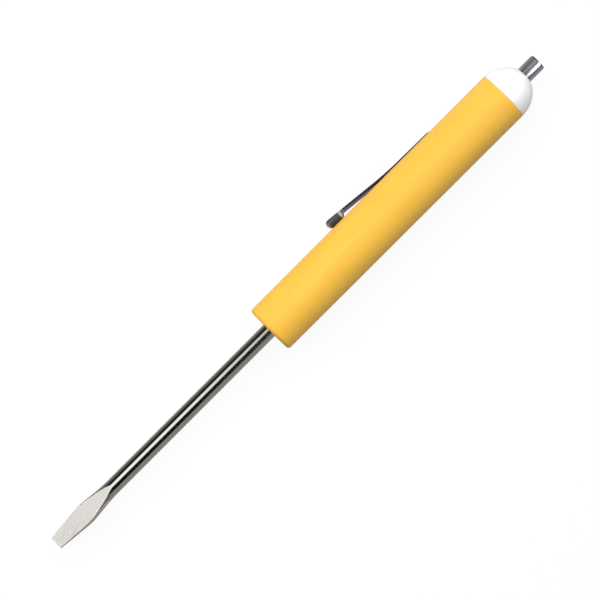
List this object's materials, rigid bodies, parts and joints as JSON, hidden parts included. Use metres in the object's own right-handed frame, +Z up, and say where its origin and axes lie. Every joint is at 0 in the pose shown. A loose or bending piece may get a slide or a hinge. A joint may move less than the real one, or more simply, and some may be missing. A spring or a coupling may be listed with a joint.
{
  "type": "pocket screwdriver",
  "caption": "Slim pocket screwdriver: slotted blade in a round plastic barrel, spring pocket clip, and a domed cap with a small pick-up magnet.",
  "frame": {"origin": "on the table under the middle of the whole tool's box, where it lies at rest on the barrel and the clip's ball", "axes": "+X along the tool towards the cap, +Z up from the table; the clip is turned down to +Y"},
  "size_m": [0.1524, 0.0132, 0.0123],
  "materials": {
    "yellow_plastic": "satin-gloss moulded plastic, golden yellow",
    "polished_steel": "polished round shaft, matte ground flats at the tip",
    "spring_steel": "plain bright spring steel strip",
    "white_plastic": "glossy moulded plastic, white",
    "nickel_plate": "nickel plate with fine drawing lines along the cup",
    "magnet_alloy": "bare dark sintered magnet"
  },
  "bodies": {
    "handle": {"barrel": "yellow_plastic", "blade": "polished_steel", "top_cap": "white_plastic", "magnet_cup": "nickel_plate", "magnet": "magnet_alloy"},
    "clip": {"clip": "spring_steel"}
  },
  "joints": [
    {"name": "clip_flex", "type": "hinge", "parent": "handle", "child": "clip", "pos_m": [0.0476, 0.00411, 0.00239], "axis": [0, -0.6328, -0.7743], "range_deg": [0, 6], "stiffness_Nm_per_rad": 0.19, "springref_deg": -4.98}
  ]
}
